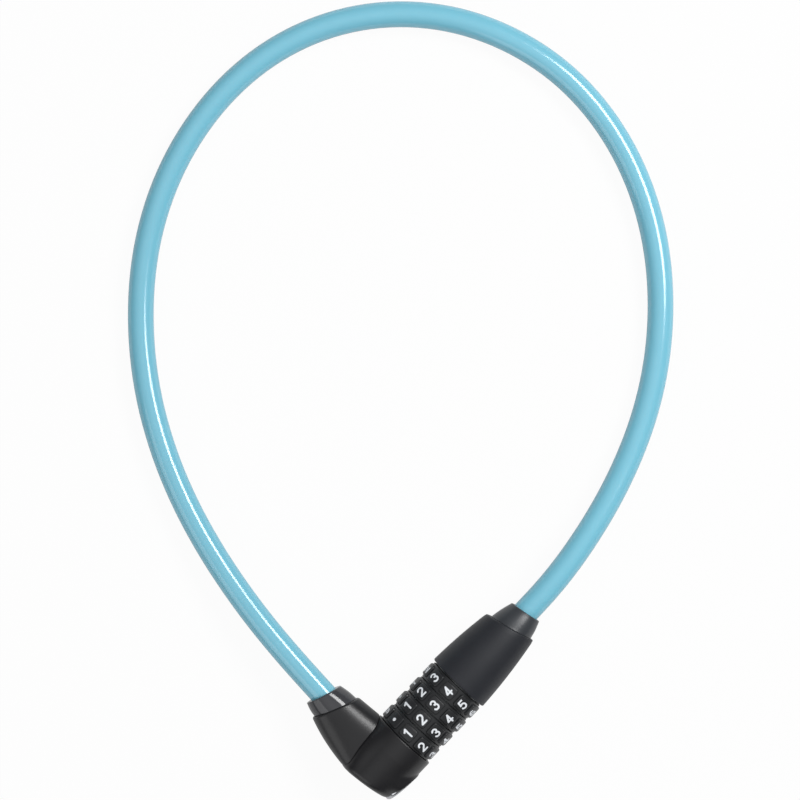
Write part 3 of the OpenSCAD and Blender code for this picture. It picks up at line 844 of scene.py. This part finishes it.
def branch_rings(rows):
    bore = BRANCH_BORE + BORE_GAP
    feet = {k: branch_foot(2 * pi * k / SIDES) for k in range(SIDES)}

    def foot_of(angle):
        return feet[round(angle * SIDES / (2 * pi)) % SIDES]

    def top_of(angle):
        along = BRANCH_L
        for _ in range(FIT_STEPS):
            along = branch_top(branch_point(angle, along)[0])
        return along

    def wall(share):
        def point(angle):
            low, high = foot_of(angle) + SEAM_EDGE, top_of(angle) - BRANCH_EDGE
            return leg_point(*branch_point(angle, low + share * (high - low)))
        return turned(point)

    def top_edge(bend):
        def point(angle):
            r, _ = branch_reach(angle, top_of(angle))
            inset = BRANCH_EDGE * (1 - cos(bend))
            across, _, up = branch_point(angle, top_of(angle), inset)
            return leg_point(across, branch_top(across) - BRANCH_EDGE * (1 - sin(bend)), up)
        return turned(point)

    def top_face(share):
        def point(angle):
            across, _, up = branch_point(angle, top_of(angle), BRANCH_EDGE)
            across = across + share * (bore * cos(angle) - across)
            up = up + share * (bore * sin(angle) - up)
            return leg_point(across, branch_top(across), up)
        return turned(point)

    def underside(share):
        def point(angle):
            across, _, up = branch_point(angle, foot_of(angle), SEAM_EDGE)
            across = across + share * (bore * cos(angle) - across)
            up = up + share * (bore * sin(angle) - up)
            return leg_point(across, on_base(across, up, SEAM_GAP), up)
        return turned(point)

    return (
        [wall(k / rows) for k in range(rows + 1)]
        + [top_edge(b) for b in fillet(5)[1:]]
        + [top_face(s) for s in (0.5, 1)]
        + [underside(s) for s in (1, 0.66, 0.33, 0)]
    )


branch = skin("elbow_branch", branch_rings(36), black_plastic)
ride(branch, "lock_body", "black_plastic", "branch_cover")

# %% [markdown]
# ## The two collars
# Each collar is a tapered strain relief between two slanted planes, with a rounded lip round the
# cable and a spigot that reaches into the shell. They differ only in their axis, sizes and gloss.

# %% Shape of a collar
COLLAR_ROWS = 12
COLLAR_LIP = 0.45
COLLAR_EDGE = 0.12
COLLAR_BULGE = 0.18
MOUTH_EDGE = 0.15
SPIGOT_SINK = 0.02


def collar_rings(at, ends, slants, widths, heights, bore, spigot_r, spigot_end):
    """at is axis_point or leg_point. Ends, slants, half widths and half heights are those of the
    lower and the upper end; the slants lengthen the side where across is negative."""
    low, high = ends
    low_slant, high_slant = slants

    def plane(along, slant, across):
        return along - tan(slant) * across

    def outer(share, inset=0.0, lift=0.0):
        def point(angle):
            width, height = [a + share * (b - a) - inset for a, b in (widths, heights)]
            bulge = COLLAR_BULGE * sin(pi * share)
            across = (width + bulge) * cos(angle)
            start = plane(low, low_slant, across)
            end = plane(high - COLLAR_LIP, high_slant, across)
            up = (height + 0.5 * bulge) * sin(angle)
            return at(across, start + share * (end - start) + lift, up)
        return turned(point)

    def disc(r, along, slant):
        def point(angle):
            across = r * cos(angle)
            return at(across, plane(along, slant, across), r * sin(angle))
        return turned(point)

    def rim(bend):
        return outer(1, inset=COLLAR_LIP * (1 - cos(bend)), lift=COLLAR_LIP * sin(bend))

    walls = [outer(0, inset=COLLAR_EDGE), outer(0, lift=COLLAR_EDGE)]
    walls += [outer(k / COLLAR_ROWS) for k in range(1, COLLAR_ROWS + 1)]
    lips = [rim(bend) for bend in fillet(6)[1:]]
    inside = [disc(bore + MOUTH_EDGE, high, high_slant), disc(bore, high - MOUTH_EDGE, high_slant)]
    inside += [disc(bore, spigot_end, 0), disc(spigot_r, spigot_end, 0)]
    return walls + lips + inside + [disc(spigot_r, low - SPIGOT_SINK, low_slant)]


# %% Make the collars
BARREL_U = 23.9
BARREL_L = 23.5
BARREL_END = BARREL_U + BARREL_L
elbow_collar = skin(
    "elbow_collar_sleeve",
    collar_rings(
        leg_point, (BRANCH_L, BRANCH_L + 5.5), (atan(BRANCH_SLANT), radians(15.4)),
        widths=(6.6, 5.7), heights=(6.15, 5.95), bore=4.05, spigot_r=6.0, spigot_end=14.6,
    ),
    elbow_collar_plastic,
)
plug_collar = skin(
    "plug_collar_sleeve",
    collar_rings(
        axis_point, (BARREL_END, BARREL_END + 6.6), (radians(14.2), radians(9.6)),
        widths=(6.7, 5.1), heights=(6.7, 5.1), bore=4.25, spigot_r=6.8, spigot_end=44.0,
    ),
    plug_collar_plastic,
)
ride(elbow_collar, "lock_body", "elbow_collar_plastic", "elbow_collar")
ride(plug_collar, "plug", "plug_collar_plastic", "plug_collar")

# %% [markdown]
# ## The plug's barrel
# The barrel is turned with a long, slight bulge and cut off at a slant behind. The socket in its
# front swallows the nose of the core, so it is only seen when the plug is drawn.

# %% Make the barrel
BARREL_R = 10.4
BARREL_TAPER = 0.035
BARREL_BULGE = 360
BARREL_SLANT = tan(radians(14.2))
BARREL_EDGE = 0.45
SOCKET_R = 7.7
SOCKET_L = 3.1
SOCKET_EDGE = 0.2
INSERT_R = 6.85


def barrel_radius(x):
    return BARREL_R - BARREL_TAPER * x - x * x / BARREL_BULGE


def barrel_rings(rows):
    def end_of(angle):
        x = BARREL_L
        for _ in range(FIT_STEPS):
            x = BARREL_L - BARREL_SLANT * barrel_radius(x) * cos(angle)
        return x

    def ring(place):
        def point(angle):
            x, r = place(angle)
            return lock_point(BARREL_U + x, r * cos(angle), r * sin(angle))
        return turned(point)

    def front(bend):
        r = barrel_radius(0) - BARREL_EDGE * (1 - cos(bend))
        return lambda angle: (BARREL_EDGE * (1 - sin(bend)), r)

    def wall(share):
        def place(angle):
            x = BARREL_EDGE + share * (end_of(angle) - 2 * BARREL_EDGE)
            return x, barrel_radius(x)
        return place

    def rear(bend):
        def place(angle):
            r = barrel_radius(end_of(angle)) - BARREL_EDGE * (1 - cos(bend))
            return BARREL_L - BARREL_SLANT * r * cos(angle) - BARREL_EDGE * (1 - sin(bend)), r
        return place

    places = [front(bend) for bend in reversed(fillet(4))]
    places += [wall(k / rows) for k in range(1, rows)]
    places += [rear(bend) for bend in fillet(4)]
    places += [
        lambda angle: (BARREL_L - BARREL_SLANT * INSERT_R * cos(angle), INSERT_R),
        lambda angle: (SOCKET_L, INSERT_R),
        lambda angle: (SOCKET_L, SOCKET_R),
        lambda angle: (SOCKET_EDGE, SOCKET_R),
        lambda angle: (0, SOCKET_R + SOCKET_EDGE),
    ]
    return [ring(place) for place in places]


barrel = skin("barrel_shell", barrel_rings(30), barrel_plastic)
ride(barrel, "plug", "barrel_plastic", "plug_barrel")

# %% [markdown]
# ## The bright cap
# A plated disc closes the heel. Its edge is rolled over, and its face is very slightly domed, so
# that it catches a soft glint instead of one flat flash.

# %% Make the cap
ROLL = 0.9
DOME = 0.06
SEAT_GAP = 0.02


def cap_rings():
    def ring(r, along):
        return turned(lambda a: heel_point(r * cos(a), along, r * sin(a)), ROD_SIDES)

    edge = [ring(CAP_R - ROLL * (1 - cos(b)), DOME + ROLL * (1 - sin(b))) for b in fillet(5)]
    dome = [ring(r, DOME * (r / CAP_R) ** 2) for r in (5, 4, 3, 2, 1, 0.3)]
    return [ring(CAP_R, CAP_DEPTH - SEAT_GAP), *edge, *dome]


cap = skin("heel_disc", cap_rings(), bright_cap, joined=False)
ride(cap, "lock_body", "bright_cap", "heel_cap")

# %% [markdown]
# ## The dials
# A number ring has ten equal faces, so one tenth of it is modelled: a strip across the ring whose
# outer side rises to a soft-edged pad. A node tree sets ten copies round the axis and welds them.
# At rest the rings stand a few degrees off, so no row of pads lies quite on top.

# %% One tenth of a number ring
DIGITS = 10
RING_GAP = 0.24
RING_HALF = (PITCH - RING_GAP) / 2
RING_EDGE = 0.13
NECK_R = 9.55
PAD_R = 10.2
RING_BORE = 8.1
PAD_HALF_WIDTH = 2.2
PAD_HALF_LENGTH = 1.76
PAD_CORNER = 0.4
PAD_EDGE = 0.42
SECTOR = 2 * pi / DIGITS
DIAL_REST = radians(7)
WELD = 0.002


def pad_height(arc, x):
    """Height of the surface above the neck, from the distance outside the pad's flat top."""
    dx = max(abs(x) - PAD_HALF_LENGTH + PAD_CORNER, 0)
    da = max(abs(arc) - PAD_HALF_WIDTH + PAD_CORNER, 0)
    out = hypot(dx, da) - PAD_CORNER
    share = min(max(out / PAD_EDGE, 0), 1)
    return (PAD_R - NECK_R) * sqrt(1 - share * share)


def mirrored(values):
    return [-x for x in reversed(values)] + [0.0] + list(values)


def sector_mesh():
    half_arc = SECTOR / 2
    fine = [-0.4, -0.25, -0.1, 0, 0.06, 0.12, 0.18, 0.24, 0.3, 0.35, 0.39, 0.41, PAD_EDGE]
    arcs = mirrored([0.6, 1.2, *[PAD_HALF_WIDTH + x for x in fine], 2.9, half_arc * PAD_R])
    lengths = mirrored([0.5, 1.0, *[PAD_HALF_LENGTH + x for x in fine], 2.4, RING_HALF - RING_EDGE])
    front_rim = [
        (RING_HALF, NECK_R - RING_EDGE), (RING_HALF, RING_BORE + RING_EDGE),
        (RING_HALF - RING_EDGE, RING_BORE),
    ]
    rim = front_rim + [(-x, r) for x, r in reversed(front_rim)]
    shape = bmesh.new()
    columns = []
    for arc in arcs:
        angle = arc / PAD_R + DIAL_REST
        spots = [(x, NECK_R + pad_height(arc, x)) for x in lengths] + rim
        column = [(x * MM, r * sin(angle) * MM, r * cos(angle) * MM) for x, r in spots]
        columns.append([shape.verts.new(spot) for spot in column])
    for left, right in zip(columns, columns[1:]):
        for k in range(len(left)):
            n = (k + 1) % len(left)
            shape.faces.new((left[k], left[n], right[n], right[k]))
    mesh = bpy.data.meshes.new("tenth")
    shape.to_mesh(mesh)
    shape.free()
    return mesh


def round_tree():
    """Copies of the given mesh, turned by equal steps about the X axis, set in place and welded."""
    tree, given, result = tree_with_inputs(
        "copies round the axis", ("Count", "Int"), ("Centre", "Vector"), ("Material", "Material")
    )
    spots = add_node(tree, "GeometryNodeMeshLine", mode="OFFSET")
    spots.inputs["Offset"].default_value = (0, 0, 0)
    number = add_node(tree, "GeometryNodeInputIndex")
    step = add_node(tree, "ShaderNodeMath", operation="DIVIDE")
    step.inputs[0].default_value = 2 * pi
    angle = add_node(tree, "ShaderNodeMath", operation="MULTIPLY")
    turn = add_node(tree, "ShaderNodeCombineXYZ")
    copies = add_node(tree, "GeometryNodeInstanceOnPoints")
    real = add_node(tree, "GeometryNodeRealizeInstances")
    weld = add_node(tree, "GeometryNodeMergeByDistance")
    weld.inputs["Distance"].default_value = WELD * MM
    put = add_node(tree, "GeometryNodeSetPosition")
    paint = add_node(tree, "GeometryNodeSetMaterial")
    join(
        tree,
        (given.outputs["Count"], spots.inputs["Count"]),
        (given.outputs["Count"], step.inputs[1]),
        (number.outputs[0], angle.inputs[0]),
        (step.outputs[0], angle.inputs[1]),
        (angle.outputs[0], turn.inputs["X"]),
        (spots.outputs["Mesh"], copies.inputs["Points"]),
        (given.outputs["Geometry"], copies.inputs["Instance"]),
        (turn.outputs[0], copies.inputs["Rotation"]),
        (copies.outputs["Instances"], real.inputs[0]),
        (real.outputs[0], weld.inputs["Geometry"]),
        (weld.outputs[0], put.inputs["Geometry"]),
        (given.outputs["Centre"], put.inputs["Offset"]),
        (put.outputs[0], paint.inputs["Geometry"]),
        (given.outputs["Material"], paint.inputs["Material"]),
        (paint.outputs["Geometry"], result.inputs[0]),
    )
    return tree


# %% Make the four rings
copies_round = round_tree()
tenth = sector_mesh()
for i in range(1, DIALS + 1):
    sector = bpy.data.objects.new("tenth", tenth)
    scene.collection.objects.link(sector)
    centre = lock_point((i - 0.5) * PITCH, 0, 0)
    ring = grown(
        sector, copies_round, f"dial_{i}_ring", Count=DIGITS, Centre=centre, Material=dial_plastic
    )
    ride(ring, f"dial_{i}", "dial_plastic", f"number_ring_{i}")

# %% [markdown]
# ## The numbers
# The numbers are printed on the pads: one to nine, and a dot for nought. Each is drawn as a pen
# would draw it, with straight and curved strokes and a round nib. The strokes are cut into short
# capsules, and one planar triangulation joins them and slices them into narrow bands, so that the
# number can bend. It is then given a hair's thickness and wrapped round its pad.

# %% Strokes of the numbers, in millimetres round the middle of the pad
NIB = 0.285
NUMBER_SHIFT = -0.18
NUMBER_LEFT, NUMBER_RIGHT = -0.85, 0.85
NUMBER_TOP, NUMBER_FOOT = 1.44, -1.44
ARC_STEP = 20
DOT_R = 0.27


def arc(x, y, width, height, start, end):
    """Points of an oval arc, from start to end in degrees, anticlockwise if end is larger."""
    count = max(int(abs(end - start) / ARC_STEP), 2)
    angles = [radians(start + (end - start) * k / count) for k in range(count + 1)]
    return [(x + width * cos(a), y + height * sin(a)) for a in angles]


STROKES = {
    1: [[(-0.62, 0.78), (0.14, NUMBER_TOP), (0.14, NUMBER_FOOT)]],
    2: [[*arc(0, 0.6, 0.8, 0.8, 170, -35), (NUMBER_LEFT, NUMBER_FOOT), (NUMBER_RIGHT, NUMBER_FOOT)]],
    3: [arc(-0.02, 0.71, 0.72, 0.69, 155, -80), arc(-0.02, -0.63, 0.82, 0.77, 85, -155)],
    4: [[(0.3, NUMBER_FOOT), (0.3, NUMBER_TOP), (-0.9, -0.62), (0.9, -0.62)]],
    5: [
        [(0.7, NUMBER_TOP), (-0.5, NUMBER_TOP), (-0.68, 0.1), *arc(-0.03, -0.5, 0.86, 0.9, 128, -150)]
    ],
    6: [arc(0.08, -0.1, 0.88, 1.5, 62, 185), arc(0, -0.6, 0.8, 0.8, 0, 360)],
    7: [[(NUMBER_LEFT, NUMBER_TOP), (NUMBER_RIGHT, NUMBER_TOP), (-0.25, NUMBER_FOOT)]],
    8: [arc(0, 0.74, 0.66, 0.66, 0, 360), arc(0, -0.65, 0.82, 0.75, 0, 360)],
}
STROKES[9] = [[(-x, -y) for x, y in stroke] for stroke in STROKES[6]]
STROKES[0] = [arc(0, 0, DOT_R, DOT_R, 0, 360)]


# %% From strokes to a thin solid
NIB_STEPS = 8
BAND = 0.3
BANDS = 6
BAND_REACH = 2
SAME_POINT = 1e-5
PRINT_THICKNESS = 0.035
PRINT_SUNK = 0.1


def capsule(start, end):
    """Outline of one short stretch of a stroke."""
    lean = (Vector(end) - Vector(start)).angle_signed(Vector((1, 0)))
    ends = ((end, -pi / 2), (start, pi / 2))
    return [
        (x + NIB * cos(lean + turn + bend), y + NIB * sin(lean + turn + bend))
        for (x, y), turn in ends
        for bend in [pi * k / NIB_STEPS for k in range(NIB_STEPS + 1)]
    ]


def number_faces(strokes):
    """Points and triangles that fill the strokes, sliced into bands across the number."""
    points, outlines, slices = [], [], []
    for stroke in strokes:
        for start, end in zip(stroke, stroke[1:]):
            outline = capsule(start, end)
            outlines.append(range(len(points), len(points) + len(outline)))
            points += outline
    for k in range(-BANDS, BANDS + 1):
        slices.append((len(points), len(points) + 1))
        points += [(-BAND_REACH, k * BAND), (BAND_REACH, k * BAND)]
    flat, _, faces, _, _, inside = delaunay_2d_cdt(
        [Vector(p) for p in points], slices, [list(o) for o in outlines], 0, SAME_POINT
    )
    return flat, [face for face, sources in zip(faces, inside) if sources]


def thick_number(shape, digit, put):
    """Adds the number to the shape: put takes x, y and the height above the pad."""
    flat, faces = number_faces(STROKES[digit])
    used = sorted({k for face in faces for k in face})
    low, high = [
        {k: shape.verts.new(put(flat[k].x, flat[k].y, z)) for k in used}
        for z in (-PRINT_SUNK, PRINT_THICKNESS)
    ]
    edges = {(a, b) for face in faces for a, b in zip(face, face[1:] + face[:1])}
    for face in faces:
        shape.faces.new([high[k] for k in face])
        shape.faces.new([low[k] for k in reversed(face)])
    for a, b in edges:
        if (b, a) not in edges:
            shape.faces.new((low[a], low[b], high[b], high[a]))


# %% Print the numbers on the dials
def on_pad(dial, digit):
    """Wraps a flat number round the dial, on the pad where this digit belongs."""
    def put(x, y, z):
        angle = (digit - dial) * SECTOR - y / PAD_R - DIAL_REST
        r = PAD_R + z
        return lock_point((dial - 0.5) * PITCH + x + NUMBER_SHIFT, -r * sin(angle), r * cos(angle))
    return put


for i in range(1, DIALS + 1):
    shape = bmesh.new()
    for digit in range(DIGITS):
        thick_number(shape, digit, on_pad(i, digit))
    bmesh.ops.recalc_face_normals(shape, faces=shape.faces)
    printed = bpy.data.meshes.new(f"dial_{i}_numbers")
    shape.to_mesh(printed)
    shape.free()
    ride(finished(printed, f"dial_{i}_numbers", digit_white), f"dial_{i}", "digit_white")
